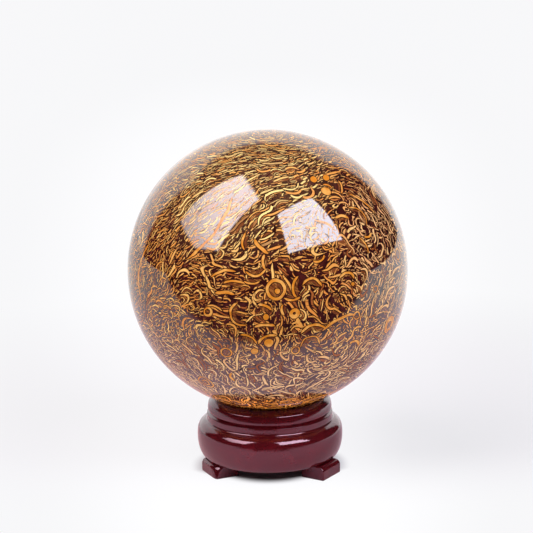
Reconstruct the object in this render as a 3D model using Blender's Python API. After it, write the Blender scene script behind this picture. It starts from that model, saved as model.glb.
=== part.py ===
"""A polished stone ball resting in a turned wooden stand on three glued feet.

The frame's origin is on the floor, on the stand's axis. The front of the object faces -Y.
"""

import math

import bmesh
import bpy
from mathutils import Matrix

# Stone ball
BALL_DIAMETER = 0.1000
BALL_SEGMENTS = 56
BALL_RINGS = 28

# Glued joints and resting contact
CONTACT_GAP = 0.0003

# Feet
FOOT_COUNT = 3
FIRST_FOOT_AZIMUTH = 205.5
FOOT_HEIGHT = 0.0053
FOOT_WIDTH = 0.0121
FOOT_LENGTH = 0.0094
FOOT_TOE_INSET = 0.0016
TOE_ROUNDING = 0.0022
FOOT_EDGE_ROUNDING = 0.0007
FOOT_ROUNDING_STEPS = 4

# Drum, the wide lower part of the turned stand
DRUM_RADIUS = 0.0265
SHOULDER_DEPTH = 0.0036
SHOULDER_HEIGHT = 0.0064
BELLY_HEIGHT = 0.0078
BELLY_SWEEP = 61.0
DRUM_EDGE_ROUNDING = 0.0008

# Fillet, bead and groove between the drum and the collar
FILLET_RADIUS = 0.0005
BEAD_HEIGHT = 0.0017
BEAD_DEPTH = 0.0005
GROOVE_HEIGHT = 0.0005
GROOVE_DEPTH = 0.0006

# Collar and the seat turned into it
COLLAR_ROUNDING = 0.0028
COLLAR_CROWN_HEIGHT = 0.0043
COLLAR_TUCK_HEIGHT = 0.0020
COLLAR_TUCK_SWEEP = 42.0
RIM_WIDTH = 0.0016
RIM_DIP = 0.0003
SEAT_LAND_WIDTH = 0.0035
RECESS_DEPTH = 0.0045

# Fineness of the turned surfaces
STAND_SEGMENTS = 64
EDGE_STEPS = 3
BELLY_STEPS = 5
SHOULDER_STEPS = 8
BEAD_STEPS = 5
CROWN_STEPS = 7
MERGE_DISTANCE = 1e-6
SHARP_ANGLE = 35.0


def clear_scene():
    """Removes whatever the opened file holds."""
    for item in list(bpy.data.objects):
        bpy.data.objects.remove(item)


def surface(name, colour, roughness):
    """A plain Principled material without metal."""
    material = bpy.data.materials.new(name)
    material.use_nodes = True
    shader = material.node_tree.nodes["Principled BSDF"]
    shader.inputs["Base Color"].default_value = (*colour, 1.0)
    shader.inputs["Roughness"].default_value = roughness
    shader.inputs["Metallic"].default_value = 0.0
    return material


def add_object(name, mesh_builder, material):
    """Turns a finished bmesh into a smooth shaded object in the scene."""
    mesh = bpy.data.meshes.new(name)
    mesh_builder.to_mesh(mesh)
    mesh_builder.free()
    mesh.materials.append(material)
    mesh.shade_smooth()
    mesh.set_sharp_from_angle(angle=math.radians(SHARP_ANGLE))
    item = bpy.data.objects.new(name, mesh)
    bpy.context.scene.collection.objects.link(item)
    return item


def arc(centre_radius, centre_height, semi_radius, semi_height, start, end, steps):
    """Points (radius, height) on an ellipse, from one angle to another in degrees."""
    points = []
    for step in range(steps + 1):
        angle = math.radians(start + (end - start) * step / steps)
        points.append(
            (
                centre_radius + semi_radius * math.cos(angle),
                centre_height + semi_height * math.sin(angle),
            )
        )
    return points


def belly_edge():
    """Where the drum's wall passes into its rounded lower edge.

    Returns the wall's radius and depth there, measured from the widest ring, and the direction
    that the wall faces there, in degrees.
    """
    sweep = math.radians(BELLY_SWEEP)
    inset = SHOULDER_DEPTH * (1.0 - math.cos(sweep))
    depth = BELLY_HEIGHT * math.sin(sweep)
    facing = math.atan2(-SHOULDER_DEPTH * math.sin(sweep), BELLY_HEIGHT * math.cos(sweep))
    return DRUM_RADIUS - inset, depth, math.degrees(facing)


def stand_sizes():
    """The places that the outline, the ball and the feet share."""
    edge_depth, facing = belly_edge()[1:]
    edge_height = DRUM_EDGE_ROUNDING * (1.0 + math.sin(math.radians(facing)))
    widest_height = FOOT_HEIGHT + edge_height + edge_depth
    neck_radius = DRUM_RADIUS - SHOULDER_DEPTH
    neck_height = widest_height + SHOULDER_HEIGHT
    groove_base = neck_height + FILLET_RADIUS + BEAD_HEIGHT
    collar_base = groove_base + GROOVE_HEIGHT
    tuck = math.radians(COLLAR_TUCK_SWEEP)
    collar_widest = collar_base + COLLAR_TUCK_HEIGHT * math.sin(tuck)
    seat_radius = neck_radius - COLLAR_ROUNDING - RIM_WIDTH
    seat_height = collar_widest + COLLAR_CROWN_HEIGHT - RIM_DIP
    seat_curve = BALL_DIAMETER / 2 + CONTACT_GAP
    return {
        "widest_height": widest_height,
        "neck_radius": neck_radius,
        "neck_height": neck_height,
        "groove_base": groove_base,
        "collar_widest": collar_widest,
        "seat_radius": seat_radius,
        "seat_curve": seat_curve,
        "ball_centre": seat_height + math.sqrt(seat_curve**2 - seat_radius**2),
    }


def drum_outline(sizes):
    """The drum from its underside's edge, up the bellied wall and over the shoulder."""
    edge_radius, edge_depth, facing = belly_edge()
    turn = math.radians(facing)
    edge = arc(
        edge_radius - DRUM_EDGE_ROUNDING * math.cos(turn),
        sizes["widest_height"] - edge_depth - DRUM_EDGE_ROUNDING * math.sin(turn),
        DRUM_EDGE_ROUNDING,
        DRUM_EDGE_ROUNDING,
        -90.0,
        facing,
        EDGE_STEPS,
    )
    wall = arc(
        sizes["neck_radius"],
        sizes["widest_height"],
        SHOULDER_DEPTH,
        BELLY_HEIGHT,
        -BELLY_SWEEP,
        0.0,
        BELLY_STEPS,
    )
    shoulder = arc(
        sizes["neck_radius"],
        sizes["widest_height"],
        SHOULDER_DEPTH,
        SHOULDER_HEIGHT,
        0.0,
        90.0,
        SHOULDER_STEPS,
    )
    return edge + wall[1:] + shoulder[1:]


def neck_outline(sizes):
    """The fillet, the bead and the narrow groove above the drum's shoulder."""
    bead_bottom = sizes["neck_height"] + FILLET_RADIUS
    bead_middle = bead_bottom + BEAD_HEIGHT / 2
    wall_radius = sizes["neck_radius"] - FILLET_RADIUS
    groove_radius = sizes["neck_radius"] - GROOVE_DEPTH
    fillet = arc(
        sizes["neck_radius"], bead_bottom, FILLET_RADIUS, FILLET_RADIUS, 240.0, 180.0, EDGE_STEPS
    )
    bead = arc(wall_radius, bead_middle, BEAD_DEPTH, BEAD_HEIGHT / 2, -60.0, 90.0, BEAD_STEPS)
    groove = [(groove_radius, sizes["groove_base"] + GROOVE_HEIGHT / 3)]
    return fillet + bead + groove


def collar_outline(sizes):
    """The collar's outer face and its rounded rim, ending at the seat's edge."""
    crest_radius = sizes["neck_radius"] - COLLAR_ROUNDING
    widest = sizes["collar_widest"]
    seat_height = widest + COLLAR_CROWN_HEIGHT - RIM_DIP
    tuck = arc(
        crest_radius,
        widest,
        COLLAR_ROUNDING,
        COLLAR_TUCK_HEIGHT,
        -COLLAR_TUCK_SWEEP,
        0.0,
        EDGE_STEPS,
    )
    crown = arc(
        crest_radius, widest, COLLAR_ROUNDING, COLLAR_CROWN_HEIGHT, 0.0, 90.0, CROWN_STEPS
    )
    lip = arc(crest_radius, seat_height, RIM_WIDTH, RIM_DIP, 120.0, 180.0, EDGE_STEPS - 1)
    return tuck + crown[1:] + lip


def seat_outline(sizes):
    """The dished land under the ball and the flat recess inside it."""
    land = []
    recess_radius = sizes["seat_radius"] - SEAT_LAND_WIDTH
    for share in (0.5, 1.0):
        radius = sizes["seat_radius"] - SEAT_LAND_WIDTH * share
        drop = math.sqrt(sizes["seat_curve"] ** 2 - radius**2)
        land.append((radius, sizes["ball_centre"] - drop))
    floor_height = land[-1][1] - RECESS_DEPTH
    return land + [(recess_radius, floor_height), (0.0, floor_height)]


def stand_outline(sizes):
    """The whole half-section of the turned stand, from the underside to the recess."""
    underside = [(0.0, FOOT_HEIGHT)]
    outside = drum_outline(sizes) + neck_outline(sizes) + collar_outline(sizes)
    return underside + outside + seat_outline(sizes)


def add_stand_ring(sizes, material):
    """The turned ring: its half-section spun once about the stand's axis."""
    builder = bmesh.new()
    points = [builder.verts.new((radius, 0.0, height)) for radius, height in stand_outline(sizes)]
    edges = [builder.edges.new(pair) for pair in zip(points, points[1:])]
    bmesh.ops.spin(
        builder,
        geom=points + edges,
        axis=(0.0, 0.0, 1.0),
        cent=(0.0, 0.0, 0.0),
        angle=math.tau,
        steps=STAND_SEGMENTS,
        use_merge=True,
    )
    bmesh.ops.remove_doubles(builder, verts=builder.verts, dist=MERGE_DISTANCE)
    bmesh.ops.recalc_face_normals(builder, faces=builder.faces)
    return add_object("stand_ring", builder, material)


def add_ball(sizes, material):
    """The stone ball, standing its contact gap above the seat."""
    builder = bmesh.new()
    bmesh.ops.create_uvsphere(
        builder, u_segments=BALL_SEGMENTS, v_segments=BALL_RINGS, radius=BALL_DIAMETER / 2
    )
    ball = add_object("stone_ball", builder, material)
    ball.location = (0.0, 0.0, sizes["ball_centre"])
    return ball


def edge_rounding_share(edge):
    """How much of the toe's rounding an edge of the foot's block gets.

    The block's outer end faces +X. Its top edge there is the toe, which is rounded most.
    """
    middle = (edge.verts[0].co + edge.verts[1].co) / 2
    direction = edge.verts[1].co - edge.verts[0].co
    on_top = middle.z > FOOT_HEIGHT / 2
    at_toe = middle.x > DRUM_RADIUS - FOOT_TOE_INSET - FOOT_LENGTH / 4
    if abs(direction.z) > FOOT_HEIGHT / 2:
        return FOOT_EDGE_ROUNDING / TOE_ROUNDING
    if on_top and at_toe:
        return 1.0
    return 0.0


def add_foot(name, azimuth, material):
    """A block glued under the drum, with its length along the radius."""
    block_height = FOOT_HEIGHT - CONTACT_GAP
    centre = (DRUM_RADIUS - FOOT_TOE_INSET - FOOT_LENGTH / 2, 0.0, block_height / 2)
    builder = bmesh.new()
    bmesh.ops.create_cube(
        builder,
        size=1.0,
        matrix=Matrix.Translation(centre)
        @ Matrix.Diagonal((FOOT_LENGTH, FOOT_WIDTH, block_height, 1.0)),
    )
    weights = builder.edges.layers.float.new("bevel_weight_edge")
    for edge in builder.edges:
        edge[weights] = edge_rounding_share(edge)
    foot = add_object(name, builder, material)
    bevel = foot.modifiers.new("rounded_edges", "BEVEL")
    bevel.limit_method = "WEIGHT"
    bevel.width = TOE_ROUNDING
    bevel.segments = FOOT_ROUNDING_STEPS
    foot.rotation_euler = (0.0, 0.0, math.radians(azimuth))
    return foot


def main():
    clear_scene()
    sizes = stand_sizes()
    stone = surface("polished_stone", (0.23, 0.10, 0.03), 0.08)
    lacquer = surface("lacquered_wood", (0.075, 0.006, 0.010), 0.15)
    add_ball(sizes, stone)
    add_stand_ring(sizes, lacquer)
    names = ("foot_front_left", "foot_front_right", "foot_back")
    for index in range(FOOT_COUNT):
        add_foot(names[index], FIRST_FOOT_AZIMUTH + index * 360.0 / FOOT_COUNT, lacquer)


main()
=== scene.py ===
"""A patterned stone ball on a red lacquered stand: its looks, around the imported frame."""

import math

import bpy
import numpy as np
from mathutils import Matrix, Vector


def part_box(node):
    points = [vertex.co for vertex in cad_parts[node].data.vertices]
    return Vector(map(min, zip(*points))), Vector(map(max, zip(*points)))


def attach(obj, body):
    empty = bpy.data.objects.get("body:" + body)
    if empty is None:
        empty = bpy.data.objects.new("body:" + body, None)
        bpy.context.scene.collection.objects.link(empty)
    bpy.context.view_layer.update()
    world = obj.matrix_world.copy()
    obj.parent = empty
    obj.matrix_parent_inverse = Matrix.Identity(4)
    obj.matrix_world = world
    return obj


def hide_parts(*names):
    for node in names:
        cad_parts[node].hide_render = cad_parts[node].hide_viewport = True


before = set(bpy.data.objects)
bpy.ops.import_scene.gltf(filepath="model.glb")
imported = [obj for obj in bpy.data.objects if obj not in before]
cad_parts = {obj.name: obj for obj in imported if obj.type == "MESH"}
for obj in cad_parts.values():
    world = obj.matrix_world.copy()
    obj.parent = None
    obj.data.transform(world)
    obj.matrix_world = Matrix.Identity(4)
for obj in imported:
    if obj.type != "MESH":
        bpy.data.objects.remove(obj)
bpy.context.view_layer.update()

BODY = "root"
MILLIMETRE = 0.001

# The ball, from its solid
BALL_LOW, BALL_HIGH = (Vector(corner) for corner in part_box("stone_ball"))
BALL_CENTRE = (BALL_LOW + BALL_HIGH) / 2
BALL_RADIUS = (BALL_HIGH.z - BALL_LOW.z) / 2


class Value:
    """A shader node's output, with arithmetic that adds math nodes to its tree."""

    def __init__(self, tree, socket):
        self.tree = tree
        self.socket = socket

    def __add__(self, other):
        return self.tree.math("ADD", self, other)

    def __radd__(self, other):
        return self.tree.math("ADD", other, self)

    def __sub__(self, other):
        return self.tree.math("SUBTRACT", self, other)

    def __rsub__(self, other):
        return self.tree.math("SUBTRACT", other, self)

    def __mul__(self, other):
        return self.tree.math("MULTIPLY", self, other)

    def __truediv__(self, other):
        return self.tree.math("DIVIDE", self, other)

    def __pow__(self, other):
        return self.tree.math("POWER", self, other)


class Tree:
    """Adds nodes to a shader tree and joins them up."""

    def __init__(self, node_tree):
        self.nodes = node_tree.nodes
        self.links = node_tree.links

    def put(self, value, socket):
        """Feeds a socket from a value, a node's output or a constant."""
        if isinstance(value, Value):
            value = value.socket
        if isinstance(value, bpy.types.NodeSocket):
            self.links.new(value, socket)
        else:
            socket.default_value = value

    def node(self, kind, inputs=None, **settings):
        """A new node, with its settings and its inputs by name or number."""
        made = self.nodes.new(kind)
        for name, setting in settings.items():
            setattr(made, name, setting)
        for key, value in (inputs or {}).items():
            self.put(value, made.inputs[key])
        return made

    def math(self, operation, *terms):
        made = self.node("ShaderNodeMath", dict(enumerate(terms)), operation=operation)
        return Value(self, made.outputs[0])

    def vector(self, operation, *terms, output=0):
        made = self.node("ShaderNodeVectorMath", dict(enumerate(terms)), operation=operation)
        return Value(self, made.outputs[output])

    def dot(self, one, other):
        return self.vector("DOT_PRODUCT", one, other, output="Value")

    def cross(self, one, other):
        return self.vector("CROSS_PRODUCT", one, other)

    def unit(self, one):
        return self.vector("NORMALIZE", one)

    def scaled(self, one, factor):
        made = self.node("ShaderNodeVectorMath", {0: one, "Scale": factor}, operation="SCALE")
        return Value(self, made.outputs[0])

    def plus(self, *terms):
        total = terms[0]
        for term in terms[1:]:
            total = self.vector("ADD", total, term)
        return total

    def ramp(self, value, low, high, start=0.0, end=1.0, kind="SMOOTHSTEP"):
        """Start below low, end above high, and smooth in between."""
        inputs = {0: value, 1: low, 2: high, 3: start, 4: end}
        made = self.node("ShaderNodeMapRange", inputs, interpolation_type=kind, clamp=True)
        return Value(self, made.outputs[0])

    def blend(self, share, one, other):
        """A colour between two, with the second one's share."""
        made = self.node("ShaderNodeMix", data_type="RGBA")
        self.put(share, made.inputs["Factor"])
        for name, colour in (("A", one), ("B", other)):
            socket = next(s for s in made.inputs if s.name == name and s.type == "RGBA")
            self.put((*colour, 1.0) if isinstance(colour, tuple) else colour, socket)
        return Value(self, next(s for s in made.outputs if s.type == "RGBA"))

    def parts(self, vector):
        made = self.node("ShaderNodeSeparateXYZ", {0: vector})
        return [Value(self, out) for out in made.outputs]

    def triple(self, colour):
        """The three parts of a colour, and the vector that they make."""
        made = self.node("ShaderNodeSeparateColor", {0: colour})
        drawn = [Value(self, out) for out in made.outputs]
        joined = self.node("ShaderNodeCombineXYZ", dict(enumerate(drawn)))
        return drawn, Value(self, joined.outputs[0])

    def noise(self, place, scale, detail):
        """Noise in 3D, as its value and its colour. The scale is in waves a unit."""
        inputs = {"Vector": place, "Scale": scale, "Detail": detail}
        made = self.node("ShaderNodeTexNoise", inputs, noise_dimensions="3D")
        return Value(self, made.outputs["Fac"]), Value(self, made.outputs["Color"])

    def object_place(self):
        """Where a point is, in its object's own coordinates."""
        return self.node("ShaderNodeTexCoord").outputs["Object"]

    def finish(self, shader, kind="ShaderNodeOutputMaterial"):
        """Makes a shader the whole tree's surface."""
        self.put(shader.outputs[0], self.node(kind).inputs["Surface"])


def new_material(name):
    """A material with an empty tree, and that tree."""
    material = bpy.data.materials.new(name)
    material.use_nodes = True
    material.node_tree.nodes.clear()
    return material, Tree(material.node_tree)


def new_group(name, kinds):
    """A node group with two numbers out: its tree, its inputs as values, and its end."""
    group = bpy.data.node_groups.new(name, "ShaderNodeTree")
    for index, kind in enumerate(kinds):
        group.interface.new_socket(f"In {index}", in_out="INPUT", socket_type=kind)
    for label in ("Depth", "Hollow"):
        group.interface.new_socket(label, in_out="OUTPUT", socket_type="NodeSocketFloat")
    tree = Tree(group)
    start = tree.node("NodeGroupInput")
    values = [Value(tree, out) for out in start.outputs[: len(kinds)]]
    return group, tree, values, tree.node("NodeGroupOutput")


def close_surface(tree, colour, roughness, bump_height, bump_distance, others):
    """The Principled shader at the tree's end, with its other inputs by name."""
    bump = tree.node("ShaderNodeBump", {"Height": bump_height, "Distance": bump_distance})
    inputs = {"Base Color": colour, "Roughness": roughness, "Normal": bump.outputs[0]}
    tree.finish(tree.node("ShaderNodeBsdfPrincipled", {**inputs, **others}))


def direction(azimuth, elevation):
    """The unit vector from the ball's centre: azimuth 0 is the front, positive to the right."""
    turn, rise = math.radians(azimuth), math.radians(elevation)
    return Vector(
        (math.sin(turn) * math.cos(rise), -math.cos(turn) * math.cos(rise), math.sin(rise))
    )


# Stone pattern, in millimetres on the ball
GOLD = (0.32, 0.112, 0.008)
OCHRE = (0.395, 0.185, 0.036)
YELLOW_OCHRE = (0.47, 0.280, 0.080)
PALE_OCHRE = (0.51, 0.345, 0.178)
ORANGE = (0.39, 0.145, 0.027)
# Painted light: this bright orange lifts the fragments on the ball's shaded underside
PAINTED_UNDERSIDE_ORANGE = (0.95, 0.37, 0.060)
BROWN = (0.160, 0.045, 0.011)
OLIVE = (0.47, 0.400, 0.155)
MAROON = (0.040, 0.0058, 0.0050)
BLACK_MAROON = (0.012, 0.0014, 0.0012)
HAZE_BROWN = (0.080, 0.020, 0.010)
# Painted light: this brown lifts the ground on the ball's shaded underside
PAINTED_UNDERSIDE_BROWN = (0.20, 0.055, 0.012)
OLIVE_GROUND = (0.12, 0.070, 0.030)

# The sizes of its clouds, and how far its shapes are bent
SWIRL_SIZE = 13.0
SWIRL_STRENGTH = 5.0
WARP_SIZE = 5.0
WARP_REACH = 1.3
PATCH_SIZE = 30.0
MOTTLE_SIZE = 3.5
HAZE_SIZE = 2.2
GRAIN_SIZE = 0.55

# Where it turns olive and pale: azimuth and elevation, and where the olive begins and is full
OLIVE_PLACE = (-14.0, 52.0)
OLIVE_SPREAD = (44.0, 14.0)
PALE_PLACE = (62.0, 14.0)
# The line across which the fragments grow from fine to coarse
COARSE_SIDE = (24.0, -6.0)

# Currents that the fragments follow: azimuth, elevation, spread, tilt from level, strength
CURRENTS = (
    (0.0, 52.0, 30.0, 36.0, 2.0),
    (-9.0, 33.0, 16.0, 54.0, 1.7),
    (-40.0, 44.0, 26.0, 48.0, 1.6),
    (-55.0, 14.0, 26.0, 58.0, 1.5),
    (-62.0, -14.0, 24.0, 50.0, 1.1),
    (-18.0, 8.0, 16.0, 10.0, 1.4),
    (26.0, 10.0, 15.0, 14.0, 1.1),
    (58.0, -6.0, 20.0, 62.0, 1.2),
    (62.0, 26.0, 18.0, -55.0, 1.2),
    (30.0, 60.0, 24.0, -14.0, 1.8),
    (34.0, -34.0, 16.0, 34.0, 1.6),
    (-36.0, -34.0, 18.0, -40.0, 1.2),
)

# The larger shell sections, by their middles' azimuth and elevation in degrees.
# Rings: radius and thickness
RINGS = (
    (3, 5.5, 3.0, 1.0),
    (10, -4, 1.2, 1.3),
    (11, -20, 1.5, 0.5),
    (66, 11, 2.0, 0.5),
    (61, -17, 2.5, 2.0),
    (37, -8, 1.4, 0.5),
    (47, 1, 1.3, 0.5),
    (-35, -40, 2.9, 0.6),
    (-35, -40, 1.4, 0.5),
    (-18, -21, 1.8, 0.6),
    (-24, -4, 1.4, 0.7),
    (152, 18, 3.2, 1.0),
    (-128, -14, 2.2, 0.8),
    (118, -30, 4.0, 1.1),
)
# Rods and seeds cut across: radius
DISCS = (
    (3.5, 5, 1.0),
    (0, -16, 1.6),
    (-6, -20, 1.4),
    (-1, -5, 1.1),
    (33, 43, 1.7),
    (38, 49, 1.5),
    (29, 49, 1.4),
    (35, 5, 0.8),
    (61, -17, 0.6),
    (146, 2, 1.5),
    (-150, 30, 1.3),
)
# Curved walls: bearing of their middles, radius, half their sweep in degrees, thickness
ARCS = (
    (15, 6, 176, 4.8, 58, 0.95),
    (17, 5, 82, 3.5, 88, 0.80),
    (9, 6, -86, 4.2, 50, 0.80),
    (-5, 16, -85, 4.3, 68, 0.70),
    (-6, 14, -92, 5.3, 40, 0.70),
    (2, 16, 178, 3.5, 52, 0.85),
    (-10, -4, -158, 4.2, 118, 0.70),
    (-1, -17, 93, 7.8, 32, 0.95),
    (1, -18, 114, 4.6, 58, 0.95),
    (18, -15, 93, 5.1, 72, 0.90),
    (17, -18, 95, 3.4, 125, 0.60),
    (-10, -18, 60, 4.5, 52, 0.80),
    (24, 28, -76, 26.0, 16, 1.20),
    (34, -24, 110, 14.5, 34, 1.10),
    (9, -2, -172, 3.5, 42, 0.75),
    (-3, -5, 65, 4.3, 42, 0.90),
    (-14, -2, 106, 12.8, 27, 0.80),
    (-13, 2, 92, 6.1, 44, 0.80),
    (-17, -13, 89, 14.8, 18, 1.10),
    (-53, 37, -12, 23.5, 44, 1.10),
    (-44, 4, 171, 17.0, 48, 1.00),
    (9, 32, -139, 12.9, 20, 1.10),
    (-4, 24, 179, 5.4, 42, 0.75),
    (33, 43, 48, 3.0, 48, 0.60),
    (39, 45, -18, 3.9, 54, 0.60),
    (35, 27, 80, 4.1, 46, 0.95),
    (43, 29, 34, 4.9, 84, 0.60),
    (47, 24, -87, 2.2, 74, 0.80),
    (39, 17, 25, 4.9, 50, 0.65),
    (20, 18, -65, 2.5, 80, 0.70),
    (37, 21, 50, 17.8, 28, 0.60),
    (32, 6, 78, 3.1, 80, 0.85),
    (38, -22, 69, 2.4, 90, 0.90),
    (-15, -34, -173, 2.5, 65, 0.90),
)


def bearing_vector(azimuth, elevation, bearing):
    """The unit vector along the ball's surface at a place, in a bearing from level."""
    normal = direction(azimuth, elevation)
    east = Vector((0.0, 0.0, 1.0)).cross(normal).normalized()
    north = normal.cross(east)
    turn = math.radians(bearing)
    return east * math.cos(turn) + north * math.sin(turn)


def stone_flow(tree, normal, east, north, place):
    """The vector field that the fragments line up with."""
    swirl = tree.triple(tree.noise(place, 1 / SWIRL_SIZE, detail=1.0)[1])[1]
    total = tree.scaled(tree.vector("SUBTRACT", swirl, (0.5, 0.5, 0.5)), SWIRL_STRENGTH)
    for azimuth, elevation, spread, tilt, strength in CURRENTS:
        nearness = tree.dot(normal, tuple(direction(azimuth, elevation)))
        edge = math.cos(math.radians(spread * 1.25))
        core = math.cos(math.radians(spread * 0.45))
        weight = tree.ramp(nearness, edge, core, 0.0, strength)
        along = tree.plus(
            tree.scaled(east, math.cos(math.radians(tilt))),
            tree.scaled(north, math.sin(math.radians(tilt))),
        )
        total = tree.plus(total, tree.scaled(along, weight))
    return total


class Fragments:
    """Draws layers of shell fragments, one to a cell of a Voronoi pattern."""

    def __init__(self, tree, place, normal, flow):
        self.tree = tree
        self.place = place
        self.normal = normal
        self.flow = flow

    def layer(self, below, cell, seed, length, width, bend, share, align, nested):
        """The depth inside a fragment's wall and inside its hollow, and two random triples."""
        tree = self.tree
        waiting = tree.scaled((LAYER_WAIT, LAYER_WAIT, LAYER_WAIT), below)
        away = tuple(seed * step for step in LAYER_STEP)
        moved = tree.plus(self.place, away, waiting)
        cells = tree.node(
            "ShaderNodeTexVoronoi",
            {"Vector": moved, "Scale": 1.0 / cell, "Randomness": 1.0},
            voronoi_dimensions="3D",
            feature="F1",
        )
        first, colour = tree.triple(cells.outputs["Color"])
        chance = tree.node("ShaderNodeTexWhiteNoise", {"Vector": colour}, noise_dimensions="3D")
        second = tree.triple(chance.outputs["Color"])[0]
        local = tree.vector("SUBTRACT", moved, cells.outputs["Position"])
        drawn = tree.vector("SUBTRACT", colour, (0.5, 0.5, 0.5))
        wish = tree.plus(
            tree.scaled(drawn, 2.0), tree.scaled(tree.cross(self.flow, self.normal), align)
        )
        along = tree.unit(tree.cross(self.normal, wish))
        aside = tree.cross(self.normal, along)
        u = tree.dot(local, along)
        turned = 1.0 - tree.math("GREATER_THAN", first[1], 0.5) * 2.0
        v = tree.dot(local, aside) * turned
        radius = bend[0] + (second[0] ** 2.0) * (bend[1] - bend[0])
        centred = radius - v
        within = radius - tree.math("SQRT", u * u + centred * centred)
        off = tree.math("ABSOLUTE", within)
        walked = radius * tree.math("ARCTAN2", u, centred)
        half = 0.5 * length[0] + second[1] * (0.5 * (length[1] - length[0]))
        reach = tree.math("ABSOLUTE", walked / half)
        taper = tree.math("SQRT", tree.math("MAXIMUM", 1.0 - reach**3.0, 0.0))
        thick = 0.5 * width[0] + second[2] * (0.5 * (width[1] - width[0]))
        absent = tree.math("GREATER_THAN", first[0], share)
        depth = thick * taper - off - absent
        hollow = None
        if nested:
            inner = tree.math("ABSOLUTE", within - nested)
            inner_wall = thick * taper * 0.6 - inner - absent
            twice = tree.math("GREATER_THAN", first[2], SINGLE_SHARE)
            depth = tree.math("MAXIMUM", depth, inner_wall - 1.0 + twice)
            bowl = tree.math("MINIMUM", within, taper * nested - within)
            hollow = bowl - absent - tree.math("LESS_THAN", first[1], 0.5)
        return depth, hollow, first, second


# Layers from the lowest up: cell, length, width, bend, share where fine and where coarse,
# how much they line up, dark outline, and how far in a second wall lies
LAYERS = (
    (1.4, (0.7, 1.7), (0.20, 0.36), (1.5, 8.0), (0.80, 0.36), 1.2, 0.06, 0.0),
    (1.9, (1.6, 3.3), (0.28, 0.46), (1.8, 14.0), (0.90, 0.48), 1.4, 0.12, 0.0),
    (2.3, (2.0, 4.4), (0.30, 0.56), (2.0, 14.0), (0.88, 0.56), 1.4, 0.17, 0.0),
    (3.4, (3.2, 7.0), (0.42, 0.80), (2.4, 16.0), (0.45, 0.72), 1.3, 0.24, 0.0),
    (4.6, (4.5, 9.0), (0.46, 0.90), (2.2, 10.0), (0.22, 0.62), 1.0, 0.28, 1.6),
    (6.4, (6.5, 14.0), (0.55, 1.05), (5.0, 22.0), (0.14, 0.50), 1.3, 0.32, 0.0),
    (6.8, (6.0, 13.0), (0.55, 1.05), (2.4, 10.0), (0.08, 0.34), 0.7, 0.32, 2.0),
)
FRAGMENT_EDGE = 0.07
# The share of the nested fragments that have one wall
SINGLE_SHARE = 0.55
# How far apart the layers lie in the noise
LAYER_STEP = (37.1, 11.7, 23.9)
# A shift far too small to see, which has each layer worked out after the one below it
LAYER_WAIT = 0.0001
SECTION_OUTLINE = 0.28
# The depth of a place that is in no section
OUTSIDE = -9.0
# Curved walls of less than this radius are cupped, with a hollow as deep as this at most
CUPPED_RADIUS = 7.0
CUP_DEPTH = 2.2
NO_CUP = -0.4
# The specular level of the ground, and how much lower the shell's is
GROUND_GLOSS = 0.70
SHELL_DULLNESS = 0.47
STONE_UNEVENNESS = 0.000001


def arc_group():
    """One curved wall and the hollow inside it, added to the depths before it."""
    number, vector = "NodeSocketFloat", "NodeSocketVector"
    kinds = (vector, vector, vector, number, number, number, number, number, number, number)
    group, tree, values, end = new_group("curved_wall", kinds)
    place, middle, rim, radius, half_wall, edge, core, cup, depth, hollow = values
    away = tree.vector("SUBTRACT", place, middle)
    distance = tree.vector("LENGTH", away, output="Value")
    facing = tree.dot(away, rim) / distance
    inward = radius - distance
    taper = tree.ramp(facing, edge, core, -0.2, half_wall)
    depth = tree.math("MAXIMUM", depth, taper - tree.math("ABSOLUTE", inward))
    reach = tree.ramp(facing, edge, core, -0.5, cup)
    hollow = tree.math("MAXIMUM", hollow, tree.math("MINIMUM", inward, reach - inward))
    tree.put(depth, end.inputs[0])
    tree.put(hollow, end.inputs[1])
    return group


def ring_group():
    """One ring and the hollow inside it, added to the depths before it."""
    number, vector = "NodeSocketFloat", "NodeSocketVector"
    group, tree, values, end = new_group(
        "round_wall", (vector, vector, number, number, number, number)
    )
    place, middle, radius, half_wall, depth, hollow = values
    inward = radius - tree.vector("DISTANCE", place, middle, output="Value")
    depth = tree.math("MAXIMUM", depth, half_wall - tree.math("ABSOLUTE", inward))
    hollow = tree.math("MAXIMUM", hollow, inward)
    tree.put(depth, end.inputs[0])
    tree.put(hollow, end.inputs[1])
    return group


def shell_sections(tree, place):
    """The depth inside the nearest wall, and inside the hollow behind it."""
    depth, hollow = OUTSIDE, OUTSIDE
    ring, arc = ring_group(), arc_group()
    surface = BALL_RADIUS / MILLIMETRE

    def add(group, *values):
        made = tree.node("ShaderNodeGroup", node_tree=group)
        for socket, value in zip(made.inputs, values):
            tree.put(value, socket)
        return Value(tree, made.outputs[0]), Value(tree, made.outputs[1])

    for azimuth, elevation, radius, wall in RINGS:
        middle = tuple(direction(azimuth, elevation) * surface)
        depth, hollow = add(ring, place, middle, radius, wall / 2, depth, hollow)
    for azimuth, elevation, radius in DISCS:
        middle = tuple(direction(azimuth, elevation) * surface)
        depth, hollow = add(ring, place, middle, 0.0, radius, depth, hollow)
    for azimuth, elevation, bearing, radius, sweep, wall in ARCS:
        middle = tuple(direction(azimuth, elevation) * surface)
        rim = tuple(bearing_vector(azimuth, elevation, bearing))
        edge = math.cos(math.radians(sweep))
        core = math.cos(math.radians(sweep * 0.55))
        cup = min(radius * 0.6, CUP_DEPTH) if radius < CUPPED_RADIUS else NO_CUP
        depth, hollow = add(
            arc, place, middle, rim, radius, wall / 2, edge, core, cup, depth, hollow
        )
    return depth, hollow


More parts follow.
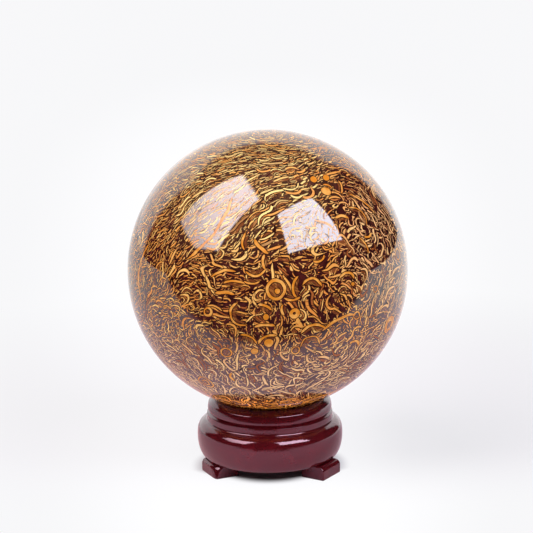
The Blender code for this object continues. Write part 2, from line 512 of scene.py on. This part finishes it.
def stone_material():
    """Ochre shell fragments in dark maroon stone, cut through and polished."""
    material, tree = new_material("script_stone")
    place = tree.scaled(tree.object_place(), 1.0 / MILLIMETRE)
    normal = tree.unit(place)
    east = tree.unit(tree.cross((0.0, 0.0, 1.0), normal))
    north = tree.cross(normal, east)
    flow = stone_flow(tree, normal, east, north, place)

    warp = tree.triple(tree.noise(place, 1 / WARP_SIZE, detail=1.0)[1])[1]
    bent = tree.vector("SUBTRACT", warp, (0.5, 0.5, 0.5))
    warped = tree.plus(place, tree.scaled(bent, WARP_REACH))

    # Zones: olive near the top, pale low down and at the right, and painted light underneath:
    # the fragments and ground on the ball's shaded underside over the stand are drawn brighter
    olive_start, olive_full = (math.cos(math.radians(angle)) for angle in OLIVE_SPREAD)
    olive_side = tree.dot(normal, tuple(direction(*OLIVE_PLACE)))
    olive_zone = tree.ramp(olive_side, olive_start, olive_full)
    upward = tree.parts(normal)[2]
    pale_zone = tree.ramp(upward, -0.60, -0.15, 0.8, 0.0) * tree.ramp(upward, -0.80, -0.70)
    pale_side = tree.dot(normal, tuple(direction(*PALE_PLACE)))
    pale_zone = pale_zone + tree.ramp(pale_side, 0.80, 0.97, 0.0, 0.5)
    painted_underside_light = tree.ramp(upward, -0.82, -0.74, 0.85, 0.0)
    lean = tree.math("ABSOLUTE", tree.dot(normal, tuple(direction(*COARSE_SIDE))))
    patch = tree.noise(place, 1 / PATCH_SIZE, detail=1.0)[0]
    coarse = tree.ramp(lean * 0.75 + (patch - 0.5) * 0.9, 0.18, 0.62)
    crowded = tree.ramp(upward, -0.42, -0.12, 0.14, 0.0)

    # The ground
    mottle = tree.noise(place, 1 / MOTTLE_SIZE, detail=3.0)[0]
    colour = tree.blend(tree.ramp(mottle, 0.35, 0.70), BLACK_MAROON, MAROON)
    cloud = tree.noise(warped, 1 / HAZE_SIZE, detail=2.0)[0]
    colour = tree.blend(tree.ramp(cloud, 0.56, 0.72, 0.0, 0.6), colour, HAZE_BROWN)
    # Painted light: the ground turns a brighter brown on the shaded underside
    colour = tree.blend(painted_underside_light * 0.6, colour, PAINTED_UNDERSIDE_BROWN)
    colour = tree.blend(olive_zone * 0.22, colour, OLIVE_GROUND)
    grain = tree.noise(warped, 1 / GRAIN_SIZE, detail=2.0)[0]
    grain_shade = tree.ramp(grain, 0.45, 0.75, 0.0, 0.30)

    # The fragments. At first nothing is inlaid, as a value that each layer adds to
    inlay = tree.math("MULTIPLY", 0.0, grain)
    drawer = Fragments(tree, warped, normal, flow)
    for index, row in enumerate(LAYERS):
        cell, length, width, bend, shares, align, outline, nested = row
        share = shares[0] + coarse * (shares[1] - shares[0]) + crowded
        depth, hollow, first, second = drawer.layer(
            inlay, cell, index + 1.0, length, width, bend, share, align, nested
        )
        if nested:
            colour = tree.blend(tree.ramp(hollow, 0.0, 0.25, 0.0, 0.5), colour, BROWN)
        tone = tree.blend(first[1], ORANGE, OCHRE)
        tone = tree.blend(tree.ramp(first[2], 0.45, 0.95), tone, YELLOW_OCHRE)
        tone = tree.blend(pale_zone, tone, PALE_OCHRE)
        # Painted light: the fragments turn bright orange on the shaded underside
        tone = tree.blend(painted_underside_light, tone, PAINTED_UNDERSIDE_ORANGE)
        tone = tree.blend(tree.ramp(second[0], 0.86, 0.90), tone, BROWN)
        tone = tree.blend(olive_zone * tree.ramp(first[2], 0.15, 0.75, 0.15, 0.80), tone, OLIVE)
        tone = tree.blend(tree.ramp(depth, 0.0, 0.20, 0.45, 0.0) + grain_shade, tone, BROWN)
        around = tree.ramp(depth, -outline, FRAGMENT_EDGE - outline, kind="LINEAR")
        inside = tree.ramp(depth, 0.0, FRAGMENT_EDGE, kind="LINEAR")
        colour = tree.blend(around, colour, BLACK_MAROON)
        colour = tree.blend(inside, colour, tone)
        inlay = tree.math("MAXIMUM", inlay, inside)

    # The larger sections
    waiting = tree.scaled((LAYER_WAIT, LAYER_WAIT, LAYER_WAIT), inlay)
    moved = tree.plus(place, tree.scaled(bent, WARP_REACH), waiting)
    depth, hollow = shell_sections(tree, moved)
    depth = depth + (mottle - 0.5) * 0.5
    colour = tree.blend(tree.ramp(hollow, 0.0, 0.15, 0.0, 0.55), colour, BLACK_MAROON)
    colour = tree.blend(tree.ramp(hollow, 0.3, 1.0, 0.0, 0.45), colour, BROWN)
    around = tree.ramp(depth, -SECTION_OUTLINE, FRAGMENT_EDGE - SECTION_OUTLINE, kind="LINEAR")
    inside = tree.ramp(depth, 0.0, FRAGMENT_EDGE, kind="LINEAR")
    gold = tree.blend(tree.ramp(mottle, 0.44, 0.66, 0.0, 0.6), GOLD, YELLOW_OCHRE)
    tone = tree.blend(tree.ramp(depth, 0.0, 0.22, 0.5, 0.0) + grain_shade, gold, ORANGE)
    colour = tree.blend(around, colour, BLACK_MAROON)
    colour = tree.blend(inside, colour, tone)
    inlay = tree.math("MAXIMUM", inlay, inside)

    roughness = 0.028 + inlay * 0.02 + tree.ramp(grain, 0.5, 0.8, 0.0, 0.015)
    level = GROUND_GLOSS - inlay * SHELL_DULLNESS
    gloss = {"IOR": 1.54, "Specular IOR Level": level}
    close_surface(tree, colour, roughness, grain, STONE_UNEVENNESS, gloss)
    return material


# Lacquer
LACQUER_RED = (0.047, 0.0022, 0.0040)
LACQUER_DEEP = (0.036, 0.0018, 0.0032)
LACQUER_WORN = (0.078, 0.010, 0.011)
LACQUER_SHINE = (1.0, 0.70, 0.83, 1.0)
# The sizes of its unevenness in millimetres, and its height in metres
WAVE_SIZE = 5.0
SPECK_SIZE = 0.4
PEEL_SIZE = 0.9
LATHE_SIZE = 0.35
BEAD_PEEL_SIZE = 0.5
LACQUER_UNEVENNESS = 0.00012
# The height of the bead, in millimetres
BEAD_LEVEL = 20.0


def lacquer_material(name, lathe_lines):
    """Glossy dark red lacquer, a little uneven, over wood."""
    material, tree = new_material(name)
    place = tree.scaled(tree.object_place(), 1.0 / MILLIMETRE)
    cloud = tree.noise(place, 1 / WAVE_SIZE, detail=3.0)[0]
    colour = tree.blend(tree.ramp(cloud, 0.35, 0.68), LACQUER_DEEP, LACQUER_RED)
    speck = tree.noise(place, 1 / SPECK_SIZE, detail=2.0)[0]
    colour = tree.blend(tree.ramp(speck, 0.66, 0.80, 0.0, 0.35), colour, LACQUER_WORN)
    wave = tree.noise(place, 1 / WAVE_SIZE, detail=1.0)[0]
    peel = tree.noise(place, 1 / PEEL_SIZE, detail=2.5)[0]
    height = wave * 0.7 + peel * 0.28
    if lathe_lines:
        x, y, z = tree.parts(place)
        radial = tree.math("SQRT", x * x + y * y)
        ring = tree.node("ShaderNodeCombineXYZ", {0: radial, 1: z, 2: 0.0}).outputs[0]
        height = height + tree.noise(ring, 1 / LATHE_SIZE, detail=2.0)[0] * 0.03
        near_bead = tree.ramp(tree.math("ABSOLUTE", z - BEAD_LEVEL), 1.1, 1.9, 1.0, 0.0)
        bead_peel = tree.noise(place, 1 / BEAD_PEEL_SIZE, detail=1.0)[0]
        height = height + near_bead * bead_peel * 0.20
    roughness = 0.05 + tree.ramp(speck, 0.4, 0.8, 0.0, 0.06)
    gloss = {"IOR": 1.60, "Specular IOR Level": 0.5, "Specular Tint": LACQUER_SHINE}
    close_surface(tree, colour, roughness, height, LACQUER_UNEVENNESS, gloss)
    return material


def add_mesh(name, points, faces, material):
    """A smooth shaded mesh object from points in metres, in the frame's own coordinates."""
    mesh = bpy.data.meshes.new(name)
    mesh.from_pydata([tuple(point) for point in points], [], faces)
    mesh.materials.append(material)
    mesh.shade_smooth()
    mesh.update()
    item = bpy.data.objects.new(name, mesh)
    bpy.context.scene.collection.objects.link(item)
    return item


def merged_grid(patches):
    """Joins grids of points, each rows by columns by three, along the edges that they share."""
    points, faces, known = [], [], {}

    def number(point):
        key = tuple(round(float(value), 8) + 0.0 for value in point)
        if key not in known:
            known[key] = len(points)
            points.append(tuple(float(value) for value in point))
        return known[key]

    for grid in patches:
        rows, columns = grid.shape[:2]
        numbers = [[number(point) for point in row] for row in grid]
        for row in range(rows - 1):
            this, after = numbers[row], numbers[row + 1]
            for left in range(columns - 1):
                right = left + 1
                faces.append((this[left], this[right], after[right], after[left]))
    return points, faces


def cube_patches(marks):
    """The six faces of a cube as grids facing out, from the marks along its edges."""
    first, second = np.meshgrid(marks, marks, indexing="ij")
    patches = []
    for axis in range(3):
        one, two = (axis + 1) % 3, (axis + 2) % 3
        for end in (0, -1):
            grid = np.empty((*first.shape, 3))
            grid[..., axis] = marks[end]
            grid[..., one] = first
            grid[..., two] = second
            patches.append(grid[::-1] if end == -1 else grid)
    return patches


BALL_GRID = 120
BALL_RIPPLE = 0.000012
BALL_RIPPLE_WAVES = 3.1
# The ball is a little larger for its stand in the photograph than the solid's, and so sits
# a little higher in the seat
BALL_SWELL = 0.0004
BALL_LIFT = 0.0002


def build_ball():
    """The ball as six even grids pressed onto a sphere, with a hand polish's slight ripple."""
    marks = np.tan(np.linspace(-math.pi / 4, math.pi / 4, BALL_GRID + 1))
    points, faces = merged_grid(cube_patches(marks))
    points = np.array(points)
    unit = points / np.linalg.norm(points, axis=1)[:, None]
    ripple = 1.0
    for axis, (waves, start) in enumerate(((2.0, 1.3), (2.6, 0.4), (2.2, 2.1))):
        ripple = ripple * np.sin(BALL_RIPPLE_WAVES * waves * unit[:, axis] + start)
    radii = BALL_RADIUS + BALL_SWELL + BALL_RIPPLE * (ripple - 1.0)
    ball = add_mesh("polished_ball", unit * radii[:, None], faces, stone_material())
    ball.location = BALL_CENTRE + Vector((0.0, 0.0, BALL_LIFT))
    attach(ball, BODY)
    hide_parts("stone_ball")


# The stand's half-section, as the solid has it, with a small hollow at the bead's foot
STAND_LOW, STAND_HIGH = (Vector(corner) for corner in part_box("stand_ring"))
UNDERSIDE = STAND_LOW.z
DRUM_RADIUS = STAND_HIGH.x
SHOULDER_DEPTH = 0.0036
SHOULDER_HEIGHT = 0.0064
BELLY_HEIGHT = 0.0078
BELLY_SWEEP = 61.0
DRUM_EDGE_ROUNDING = 0.0008
FILLET_RADIUS = 0.0005
# The side's curves from the widest up: the elevation that each one turns to face, and its
# radius
SHOULDER_CURVES = ((6.0, 0.0218), (17.0, 0.0045), (44.0, 0.0036), (75.0, 0.0040))
NOSE_RISE = 0.0002
WALL_FILLET = 0.0010
BEAD_EDGE = 0.00016
BEAD_HEIGHT = 0.0017
GROOVE_HEIGHT = 0.0005
GROOVE_DEPTH = 0.0006
COLLAR_ROUNDING = 0.0028
COLLAR_CROWN_HEIGHT = 0.0043
# How much slimmer the collar is, its side's curves, and the bulge of the slope above them
COLLAR_TRIM = 0.0003
COLLAR_CURVES = ((6.0, 0.0057), (17.0, 0.0082), (48.0, 0.00115))
COLLAR_BULGE = 0.00006
COLLAR_TUCK_HEIGHT = 0.0020
COLLAR_TUCK_SWEEP = 42.0
RIM_WIDTH = 0.0016
RIM_DIP = 0.0003
SEAT_CLEARANCE = 0.0003
SEAT_LAND_WIDTH = 0.0035
RECESS_DEPTH = 0.0045
STAND_SEGMENTS = 224


def arc(centre_radius, centre_height, semi_radius, semi_height, start, end, steps):
    """Points (radius, height) on an ellipse, from one angle to another in degrees."""
    angles = np.radians(np.linspace(start, end, steps + 1))
    return [
        (centre_radius + semi_radius * math.cos(a), centre_height + semi_height * math.sin(a))
        for a in angles
    ]


def turned_curves(start, curves):
    """Points from a widest place upwards along curves, each turning to face further up."""
    outline, facing = [start], 0.0
    for turned, radius in curves:
        last_radius, last_height = outline[-1]
        middle_radius = last_radius - radius * math.cos(math.radians(facing))
        middle_height = last_height - radius * math.sin(math.radians(facing))
        outline += arc(middle_radius, middle_height, radius, radius, facing, turned, 10)[1:]
        facing = turned
    return outline[1:]


def stand_outline():
    """The half-section in fine steps, from the underside's middle to the recess's middle."""
    sweep = math.radians(BELLY_SWEEP)
    neck = DRUM_RADIUS - SHOULDER_DEPTH
    facing = math.atan2(-SHOULDER_DEPTH * math.sin(sweep), BELLY_HEIGHT * math.cos(sweep))
    edge_radius = neck + SHOULDER_DEPTH * math.cos(sweep)
    edge_depth = BELLY_HEIGHT * math.sin(sweep)
    widest = UNDERSIDE + DRUM_EDGE_ROUNDING * (1.0 + math.sin(facing)) + edge_depth
    neck_height = widest + SHOULDER_HEIGHT
    bead_bottom = neck_height + FILLET_RADIUS
    groove_base = bead_bottom + BEAD_HEIGHT
    collar_base = groove_base + GROOVE_HEIGHT
    tuck = math.radians(COLLAR_TUCK_SWEEP)
    collar_widest = collar_base + COLLAR_TUCK_HEIGHT * math.sin(tuck)
    crest = neck - COLLAR_ROUNDING
    seat_height = collar_widest + COLLAR_CROWN_HEIGHT - RIM_DIP
    outline = [(neck * share, UNDERSIDE) for share in np.linspace(0.0, 1.0, 6)]
    outline += arc(
        edge_radius - DRUM_EDGE_ROUNDING * math.cos(facing),
        widest - edge_depth - DRUM_EDGE_ROUNDING * math.sin(facing),
        DRUM_EDGE_ROUNDING,
        DRUM_EDGE_ROUNDING,
        -90.0,
        math.degrees(facing),
        8,
    )
    below = BELLY_HEIGHT * (1.0 + NOSE_RISE / edge_depth)
    outline += arc(neck, widest + NOSE_RISE, SHOULDER_DEPTH, below, -BELLY_SWEEP, 0.0, 18)[1:]
    outline += turned_curves(outline[-1], SHOULDER_CURVES)
    turn = math.radians(SHOULDER_CURVES[-1][0])
    hollow_start = neck + WALL_FILLET * (1.0 - math.cos(turn))
    last_radius, last_height = outline[-1]
    start_height = last_height + (last_radius - hollow_start) / math.tan(turn)
    hollow_height = start_height + WALL_FILLET * math.sin(turn)
    outline += arc(
        neck + WALL_FILLET,
        hollow_height,
        WALL_FILLET,
        WALL_FILLET,
        180.0 + math.degrees(turn),
        180.0,
        10,
    )
    edge_height = groove_base - BEAD_EDGE
    for share in (0.25, 0.5, 0.75):
        outline.append((neck, hollow_height + (edge_height - hollow_height) * share))
    outline += arc(neck - BEAD_EDGE, edge_height, BEAD_EDGE, BEAD_EDGE, 0.0, 90.0, 5)
    outline += [(neck - GROOVE_DEPTH, groove_base + GROOVE_HEIGHT / 3)]
    girth = COLLAR_ROUNDING - COLLAR_TRIM
    outline += arc(
        crest, collar_widest, girth, COLLAR_TUCK_HEIGHT, -COLLAR_TUCK_SWEEP, 0.0, 8
    )
    outline += turned_curves(outline[-1], COLLAR_CURVES)
    last_radius, last_height = outline[-1]
    top = collar_widest + COLLAR_CROWN_HEIGHT
    for share in np.linspace(0.0, 1.0, 9)[1:]:
        bulge = COLLAR_BULGE * math.sin(math.pi * share)
        outline.append(
            (
                last_radius + (crest - last_radius) * share + bulge,
                last_height + (top - last_height) * share + bulge,
            )
        )
    outline += arc(crest, seat_height, RIM_WIDTH, RIM_DIP, 100.0, 180.0, 6)
    seat_radius = crest - RIM_WIDTH
    seat_curve = BALL_RADIUS + SEAT_CLEARANCE
    centre = seat_height + math.sqrt(seat_curve**2 - seat_radius**2)
    for share in np.linspace(0.1, 1.0, 6):
        radius = seat_radius - SEAT_LAND_WIDTH * share
        outline.append((radius, centre - math.sqrt(seat_curve**2 - radius**2)))
    floor_radius, floor_height = outline[-1][0], outline[-1][1] - RECESS_DEPTH
    outline += [(floor_radius * share, floor_height) for share in np.linspace(1.0, 0.0, 6)]
    return outline


def build_stand():
    """The turned stand in fine steps."""
    outline = stand_outline()
    points = [(0.0, 0.0, outline[0][1])]
    rings = outline[1:-1]
    for radius, height in rings:
        for step in range(STAND_SEGMENTS):
            angle = math.tau * step / STAND_SEGMENTS
            points.append((radius * math.cos(angle), radius * math.sin(angle), height))
    points.append((0.0, 0.0, outline[-1][1]))
    last = len(points) - 1
    faces = []
    for step in range(STAND_SEGMENTS):
        after = (step + 1) % STAND_SEGMENTS
        faces.append((0, 1 + after, 1 + step))
        for ring in range(len(rings) - 1):
            low = 1 + ring * STAND_SEGMENTS
            high = low + STAND_SEGMENTS
            faces.append((low + step, low + after, high + after, high + step))
        top = 1 + (len(rings) - 1) * STAND_SEGMENTS
        faces.append((top + step, top + after, last))
    stand = add_mesh("turned_stand", points, faces, lacquer_material("red_lacquer", True))
    stand.data.set_sharp_from_angle(angle=math.radians(50.0))
    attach(stand, BODY)
    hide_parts("stand_ring")


# Feet, as the solids have them, with their own worn corners
FOOT_GAP = 0.0003
FOOT_WIDTH = 0.0121
FOOT_LENGTH = 0.0094
FOOT_TOE_INSET = 0.0016
FOOT_ROUNDING = 0.00045
TOE_HEIGHT = 0.0031
TOE_DEPTH = 0.0024
CORNER_STEPS = 10
SIDE_STEPS = 8
# Node, azimuth, how much further out it was glued, and how far the front corner is
# rounded along and across at foot and top
FEET = (
    ("foot_front_left", 205.5, 0.0, (0.0010, 0.0034), (0.0022, 0.0075)),
    ("foot_front_right", 327.5, 0.0014, (0.0004, 0.0004), (0.0004, 0.0004)),
    ("foot_back", 85.5, 0.0, (0.0004, 0.0004), (0.0004, 0.0004)),
)


def foot_outline(inset, length, along, across):
    """The plan of a foot at one height, round its four corners, in its own frame."""
    low_x, high_x = inset, length - inset
    half = FOOT_WIDTH / 2 - inset
    small = FOOT_ROUNDING
    corners = (
        (low_x, -half, small, small, 180.0),
        (high_x, -half, small, small, 270.0),
        (high_x, half, along, across, 0.0),
        (low_x, half, small, small, 90.0),
    )
    outline = []
    for x, y, semi_x, semi_y, start in corners:
        middle_x = x + math.copysign(semi_x, length / 2 - x)
        middle_y = y + math.copysign(semi_y, -y)
        outline += arc(middle_x, middle_y, semi_x, semi_y, start, start + 90.0, CORNER_STEPS)
    whole = []
    for index, (x, y) in enumerate(outline):
        whole.append((x, y))
        if index % (CORNER_STEPS + 1) == CORNER_STEPS:
            next_x, next_y = outline[(index + 1) % len(outline)]
            for share in np.linspace(0.0, 1.0, SIDE_STEPS + 1)[1:-1]:
                whole.append((x + (next_x - x) * share, y + (next_y - y) * share))
    return whole


def build_foot(name, azimuth, further, along, across, material):
    """A block with rounded edges, its length along the radius and its toe rounded over."""
    height = UNDERSIDE - FOOT_GAP
    edge = np.linspace(0.0, FOOT_ROUNDING, 6)
    middle = np.linspace(FOOT_ROUNDING, height - FOOT_ROUNDING, 22)[1:-1]
    levels = np.concatenate([edge, middle, height - edge[::-1]])
    points = []
    for level in levels:
        share = level / height
        depth = max(FOOT_ROUNDING - min(level, height - level), 0.0)
        inset = FOOT_ROUNDING - math.sqrt(FOOT_ROUNDING**2 - depth**2)
        above = max(level - TOE_HEIGHT, 0.0) / (height - TOE_HEIGHT)
        length = FOOT_LENGTH - TOE_DEPTH * (1.0 - math.sqrt(max(1.0 - above**2, 0.0)))
        corner_x = along[0] + (along[1] - along[0]) * share
        corner_y = across[0] + (across[1] - across[0]) * share**2
        outline = foot_outline(inset, length, corner_x, corner_y)
        points += [(x, y, level) for x, y in outline]
    around = len(points) // len(levels)
    faces = []
    for ring in range(len(levels) - 1):
        for step in range(around):
            after = (step + 1) % around
            low, high = ring * around, (ring + 1) * around
            faces.append((low + step, low + after, high + after, high + step))
    top = (len(levels) - 1) * around
    faces.append(tuple(reversed(range(around))))
    faces.append(tuple(range(top, top + around)))
    foot = add_mesh(name.replace("foot", "block"), points, faces, material)
    inner_end = DRUM_RADIUS - FOOT_TOE_INSET - FOOT_LENGTH + further
    angle = math.radians(azimuth)
    place = Matrix.Rotation(angle, 4, "Z") @ Matrix.Translation((inner_end, 0.0, 0.0))
    foot.data.transform(place)
    foot.data.set_sharp_from_angle(angle=math.radians(40.0))
    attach(foot, BODY)
    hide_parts(name)


# Camera, as the photograph was taken
CAMERA_DISTANCE = 0.6824
CAMERA_PITCH = 13.3
CAMERA_ROLL = 0.75
CAMERA_LENS = 128.3
SENSOR_WIDTH = 36.0
FRAME_SHIFT_X = -1.4 / 533
FRAME_SHIFT_Y = 3.5 / 533


def place_camera():
    """The camera in front of the ball, looking down a little at its middle."""
    data = bpy.data.cameras.new("camera")
    data.lens = CAMERA_LENS
    data.sensor_width = SENSOR_WIDTH
    data.shift_x = FRAME_SHIFT_X
    data.shift_y = FRAME_SHIFT_Y
    data.clip_start = 0.01
    data.clip_end = 20.0
    camera = bpy.data.objects.new("camera", data)
    bpy.context.scene.collection.objects.link(camera)
    toward = direction(0.0, CAMERA_PITCH)
    place = BALL_CENTRE + toward * CAMERA_DISTANCE
    turn = toward.to_track_quat("Z", "Y").to_matrix().to_4x4()
    roll = Matrix.Rotation(math.radians(-CAMERA_ROLL), 4, "Z")
    camera.matrix_world = Matrix.Translation(place) @ turn @ roll
    bpy.context.scene.camera = camera


# Softboxes: their colour, their glow, their corners' azimuth and elevation from the ball, the
# side that they fade towards, the share of the glow that is left there, and how soft their
# edges are
SOFTBOXES = (
    (
        "softbox_right",
        (0.96, 0.94, 1.05),
        12.6,
        ((72.0, 59.0), (69.0, 24.0), (17.0, 24.0), (12.0, 56.0)),
        (12.0, 56.0),
        0.9,
        0.06,
    ),
    (
        "softbox_left",
        (1.0, 0.89, 0.92),
        11.6,
        ((-118.0, 75.0), (-11.0, 69.0), (-42.0, 23.0), (-64.0, 20.0), (-93.0, 29.0)),
        (-88.0, 24.0),
        0.30,
        0.12,
    ),
)
SOFTBOX_DISTANCE = 0.90
WALL_AZIMUTH = -170.0
WALL_HALF_WIDTH = 46.0
WALL_EDGE = 3.44
WALL_TOP = 42.0
WALL_TOP_EDGE = 5.0
WALL_LIGHT = 1.50
ROOM_LIGHT = 0.03
TABLE_FRONT = -0.095
BACKGROUND_LIGHT = 0.95


def glow_surface(tree, strength, tint):
    """A glowing surface, with its strength and its colour."""
    glow = tree.node("ShaderNodeEmission", {"Color": (*tint, 1.0)})
    tree.put(strength, glow.inputs["Strength"])
    return glow


def place_lights():
    """Two softboxes, and pale walls to the left and behind in a dark room."""
    for name, tint, strength, corners, fade_to, edge_share, softness in SOFTBOXES:
        points = [BALL_CENTRE + direction(*corner) * SOFTBOX_DISTANCE for corner in corners]
        middle = sum(points, Vector()) / len(points)
        inner = [middle + (point - middle) * (1.0 - softness) for point in points]
        material, tree = new_material(name)
        where = tree.object_place()
        outward = BALL_CENTRE + direction(*fade_to) * SOFTBOX_DISTANCE - middle
        share = tree.dot(tree.vector("SUBTRACT", where, tuple(middle)), tuple(outward))
        share = tree.ramp(share / outward.length_squared, -0.5, 1.1, 1.0, edge_share)
        edge = tree.node("ShaderNodeAttribute", attribute_name="glow").outputs["Fac"]
        share = share * tree.ramp(edge, 0.0, 1.0)
        tree.finish(glow_surface(tree, share * strength, tint))
        count = len(points)
        faces = []
        for index in range(count):
            after = (index + 1) % count
            faces.append((index, after, count + after, count + index))
            faces.append((count + index, count + after, 2 * count))
        box = add_mesh(name, points + inner + [middle], faces, material)
        glow = box.data.attributes.new("glow", "FLOAT", "POINT")
        glow.data.foreach_set("value", [0.0] * count + [1.0] * (count + 1))
        box.visible_camera = False
    world = bpy.data.worlds.new("studio")
    bpy.context.scene.world = world
    world.use_nodes = True
    world.node_tree.nodes.clear()
    tree = Tree(world.node_tree)
    toward = tree.unit(tree.node("ShaderNodeTexCoord").outputs["Generated"])
    x, y, z = tree.parts(toward)
    level = tree.unit(tree.node("ShaderNodeCombineXYZ", {0: x, 1: y, 2: 0.0}).outputs[0])
    nearness = tree.dot(level, tuple(direction(WALL_AZIMUTH, 0.0)))
    outer = math.cos(math.radians(WALL_HALF_WIDTH + WALL_EDGE))
    inner = math.cos(math.radians(WALL_HALF_WIDTH - WALL_EDGE))
    low = math.sin(math.radians(WALL_TOP - WALL_TOP_EDGE))
    high = math.sin(math.radians(WALL_TOP + WALL_TOP_EDGE))
    wall = tree.ramp(nearness, outer, inner) * tree.ramp(z, low, high, 1.0, 0.0)
    strength = ROOM_LIGHT + wall * (WALL_LIGHT - ROOM_LIGHT)
    seen = Value(tree, tree.node("ShaderNodeLightPath").outputs["Is Camera Ray"])
    strength = strength + seen * (BACKGROUND_LIGHT - strength)
    glow = tree.node("ShaderNodeBackground", {"Color": (1.0, 1.0, 1.0, 1.0)})
    tree.put(strength, glow.inputs["Strength"])
    tree.finish(glow, "ShaderNodeOutputWorld")


FLOOR_REACH = 3.0
FIBRE_WAVES = 900.0
# The paper's colours: as seen, as it lights the part, and as its gloss shows it, near and far.
# The last pair is a painted reflection, reddish and darker than the paper, reddest near the
# stand, for the stand's red light on it
PAPER_SEEN = ((0.365, 0.360, 0.378), (0.380, 0.375, 0.393))
PAPER_WHITE = (0.92, 0.92, 0.92)
PAINTED_PAPER_REFLECTION = ((0.62, 0.46, 0.49), (0.52, 0.46, 0.48))
PAINTED_REFLECTION_EDGE = (0.06, 0.13)
# How far out from the axis the paper begins to be lit from beyond, and is all lit so
PAPER_NEAR = 0.10
PAPER_FAR = 0.32
PAPER_TINT = (0.985, 0.985, 1.0)
PAPER_LIGHT_LEFT = 1.10
PAPER_LIGHT_RIGHT = 1.6
LIGHT_REACH = 0.25
# The shadow at the stand's foot, which is narrower in front, and the light shade beside and
# behind the stand, which is deeper at the right and lifts far out
SHADOW_EDGE = (0.0225, 0.030)
SHADOW_NARROWING = 0.0075
FRONT_EDGE = (-0.016, -0.004)
SHADE_START = (-0.05, 0.02)
SHADE = 0.17
SHADE_RIGHT = 0.14
SHADE_RIGHT_START = (0.022, 0.055)
FAR_LIFT = 0.03
# A painted pool of light on the table: the glow that the camera sees is brighter in a fan that
# opens from a point in front. How far back its middle is, how far in front that point, its
# narrowness across and along, its edge and its brightness
PAINTED_POOL_MIDDLE = 0.25
PAINTED_POOL_APEX = 0.66
PAINTED_POOL_NEAREST = 0.3
PAINTED_POOL_ACROSS = 7.6
PAINTED_POOL_ALONG = 1.15
PAINTED_POOL_EDGE = (0.4, 1.1)
PAINTED_POOL_GAIN = 0.08
# The dark room's card: how softly it ends, its height over the table and its colour
ROOM_EDGE = 0.02
ROOM_CARD_HEIGHT = 0.0003
ROOM_DARK = (0.02, 0.02, 0.02, 1.0)


def flat_card(name, x_low, x_high, y_low, y_high, height, material):
    """A level card of the stage."""
    points = [
        (x_low, y_low, height),
        (x_high, y_low, height),
        (x_high, y_high, height),
        (x_low, y_high, height),
    ]
    card = add_mesh(name, points, [(0, 1, 2, 3)], material)
    return card


def place_stage():
    """The pale table, and the dark room that its front edge gives way to in reflections."""
    paper, tree = new_material("paper")
    where = tree.object_place()
    path = tree.node("ShaderNodeLightPath")
    seen = Value(tree, path.outputs["Is Camera Ray"])
    mirrored = Value(tree, path.outputs["Is Glossy Ray"])
    x, y = tree.parts(where)[:2]
    away = tree.math("SQRT", x * x + y * y)
    fibre = tree.noise(where, FIBRE_WAVES, detail=2.0)[0]
    # Painted reflection: in gloss the paper shows reddish and darker, most near the stand
    painted_reflection_tone = tree.blend(tree.ramp(away, *PAINTED_REFLECTION_EDGE), *PAINTED_PAPER_REFLECTION)
    tone = tree.blend(mirrored, PAPER_WHITE, painted_reflection_tone)
    tone = tree.blend(seen, tone, tree.blend(fibre, *PAPER_SEEN))
    sheet = tree.node("ShaderNodeBsdfDiffuse", {"Color": tone})

    open_paper = tree.ramp(away, PAPER_NEAR, PAPER_FAR)
    in_front = tree.ramp(y, *FRONT_EDGE)
    shadow_reach = away + (1.0 - in_front) * SHADOW_NARROWING
    shade = SHADE + tree.ramp(x, *SHADE_RIGHT_START, 0.0, SHADE_RIGHT)
    shaded = 1.0 - tree.ramp(y, *SHADE_START) * shade
    filled = tree.ramp(shadow_reach, *SHADOW_EDGE) * shaded + open_paper * (shade + FAR_LIFT)
    filled = tree.math("MINIMUM", filled, 1.0)

    # The painted pool of light, in the glow that the camera sees
    across = x / tree.math("MAXIMUM", y + PAINTED_POOL_APEX, PAINTED_POOL_NEAREST) * PAINTED_POOL_ACROSS
    along = (y - PAINTED_POOL_MIDDLE) * PAINTED_POOL_ALONG
    painted_pool = tree.math("SQRT", across**2.0 + along**2.0)
    backdrop_and_painted_pool = tree.ramp(painted_pool, *PAINTED_POOL_EDGE, BACKGROUND_LIGHT + PAINTED_POOL_GAIN, BACKGROUND_LIGHT)
    light = tree.ramp(x, -LIGHT_REACH, LIGHT_REACH, PAPER_LIGHT_LEFT, PAPER_LIGHT_RIGHT)
    glow = glow_surface(tree, light + seen * (backdrop_and_painted_pool - light), PAPER_TINT)
    share = open_paper + seen * (filled - open_paper)
    inputs = {0: share, 1: sheet.outputs[0], 2: glow.outputs[0]}
    tree.finish(tree.node("ShaderNodeMixShader", inputs))
    flat_card("floor", -FLOOR_REACH, FLOOR_REACH, -FLOOR_REACH, FLOOR_REACH, 0.0, paper)

    dark, tree = new_material("dark_room")
    y = tree.parts(tree.object_place())[1]
    edge = tree.ramp(y, TABLE_FRONT - ROOM_EDGE, TABLE_FRONT + ROOM_EDGE)
    matt = tree.node("ShaderNodeBsdfDiffuse", {"Color": ROOM_DARK})
    clear = tree.node("ShaderNodeBsdfTransparent")
    inputs = {0: edge, 1: matt.outputs[0], 2: clear.outputs[0]}
    tree.finish(tree.node("ShaderNodeMixShader", inputs))
    back = TABLE_FRONT + ROOM_EDGE
    card = flat_card(
        "room_card", -FLOOR_REACH, FLOOR_REACH, -FLOOR_REACH, back, ROOM_CARD_HEIGHT, dark
    )
    card.visible_camera = False
    card.visible_diffuse = False
    card.visible_shadow = False
    card.visible_transmission = False


place_camera()
place_lights()
place_stage()
build_ball()
build_stand()
foot_lacquer = lacquer_material("foot_lacquer", False)
for row in FEET:
    build_foot(*row, foot_lacquer)

scene = bpy.context.scene
scene.view_settings.view_transform = "Standard"
scene.view_settings.look = "None"
scene.view_settings.exposure = 0.0
